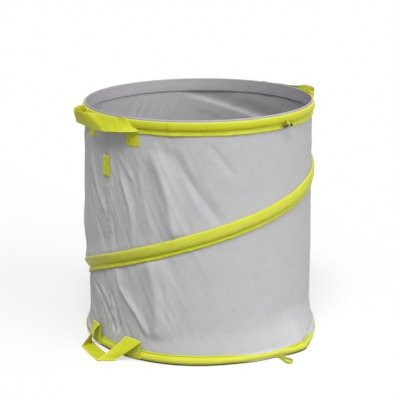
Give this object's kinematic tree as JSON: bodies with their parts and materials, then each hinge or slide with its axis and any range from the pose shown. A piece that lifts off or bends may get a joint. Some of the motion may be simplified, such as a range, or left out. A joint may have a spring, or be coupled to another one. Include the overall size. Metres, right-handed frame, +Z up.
{
  "type": "pop up leaf bag",
  "caption": "Round fabric garden bin that pops up on a spiral spring between wire hoops, with strap handles and closure loops",
  "frame": {"origin": "on the bag's axis, at the underside of the floor panel", "axes": "+Z up along the bag's axis; -Y is the front, which the picture's camera faces; the bottom handle is at the front left"},
  "size_m": [0.536, 0.536, 0.536],
  "materials": {
    "grey_cloth": "woven matt",
    "dark_floor_cloth": "woven matt",
    "lime_tape": "woven tape, soft sheen",
    "spring_steel": "bright drawn wire",
    "black_vinyl": "matt",
    "black_toggle_plastic": "moulded"
  },
  "bodies": {
    "base": {"wall_fabric": "grey_cloth", "wall_seam_tape": "grey_cloth", "side_tag": "lime_tape", "floor_panel": "dark_floor_cloth", "base_binding": "lime_tape", "bottom_hoop_wire": "spring_steel", "bottom_hoop_ferrule": "spring_steel", "spiral_sleeve": "lime_tape", "spiral_spring_wire": "spring_steel", "spring_cup_bottom": "black_vinyl", "spring_cup_top": "black_vinyl", "bottom_handle_end_front": "lime_tape", "bottom_handle_end_rear": "lime_tape"},
    "rim": {"rim_binding": "lime_tape", "rim_inner_hem": "grey_cloth", "top_hoop_wire": "spring_steel", "top_hoop_ferrule": "spring_steel", "top_handle_left_end_front": "lime_tape", "top_handle_left_end_rear": "lime_tape", "top_handle_right_end_front": "lime_tape", "top_handle_right_end_rear": "lime_tape"},
    "top_handle_left": {"top_handle_left_loop": "lime_tape"},
    "top_handle_right": {"top_handle_right_loop": "lime_tape"},
    "bottom_handle": {"bottom_handle_loop": "lime_tape"},
    "closure_loop_front": {"closure_loop_front": "lime_tape"},
    "closure_loop_rear": {"closure_loop_rear": "lime_tape"},
    "toggle_front": {"closure_toggle_front": "black_toggle_plastic", "toggle_tape_front": "lime_tape"},
    "toggle_rear": {"closure_toggle_rear": "black_toggle_plastic", "toggle_tape_rear": "lime_tape"}
  },
  "joints": [
    {"name": "collapse", "type": "slide", "parent": "base", "child": "rim", "axis": [0, 0, -1], "range_m": [0, 0.444], "stiffness_N_per_m": 60, "springref_m": -0.12, "deforming": ["wall_fabric", "wall_seam_tape", "side_tag", "spiral_sleeve", "spiral_spring_wire", "spring_cup_bottom", "spring_cup_top"]},
    {"name": "top_handle_left_lift", "type": "hinge", "parent": "rim", "child": "top_handle_left", "pos_m": [-0.19012, -0.16732, 0.535], "axis": [-0.6607, 0.7507, 0], "range_deg": [0, 150]},
    {"name": "top_handle_right_lift", "type": "hinge", "parent": "rim", "child": "top_handle_right", "pos_m": [0.19012, 0.16732, 0.535], "axis": [0.6607, -0.7507, 0], "range_deg": [0, 150]},
    {"name": "bottom_handle_lift", "type": "hinge", "parent": "base", "child": "bottom_handle", "pos_m": [-0.19014, -0.18266, 0.048], "axis": [-0.6928, 0.7212, 0], "range_deg": [0, 95]},
    {"name": "closure_loop_front_lift", "type": "hinge", "parent": "base", "child": "closure_loop_front", "pos_m": [0.1769, -0.22239, 0.0066], "axis": [-0.7826, -0.6225, 0], "range_deg": [0, 85]},
    {"name": "closure_loop_rear_lift", "type": "hinge", "parent": "base", "child": "closure_loop_rear", "pos_m": [-0.16777, 0.21091, 0.0066], "axis": [0.7826, 0.6225, 0], "range_deg": [0, 85]},
    {"name": "toggle_front_swing", "type": "hinge", "parent": "rim", "child": "toggle_front", "pos_m": [0.18505, -0.18505, 0.522], "axis": [-0.7071, -0.7071, 0], "range_deg": [0, 110]},
    {"name": "toggle_rear_swing", "type": "hinge", "parent": "rim", "child": "toggle_rear", "pos_m": [-0.18505, 0.18505, 0.522], "axis": [0.7071, 0.7071, 0], "range_deg": [0, 110]}
  ]
}
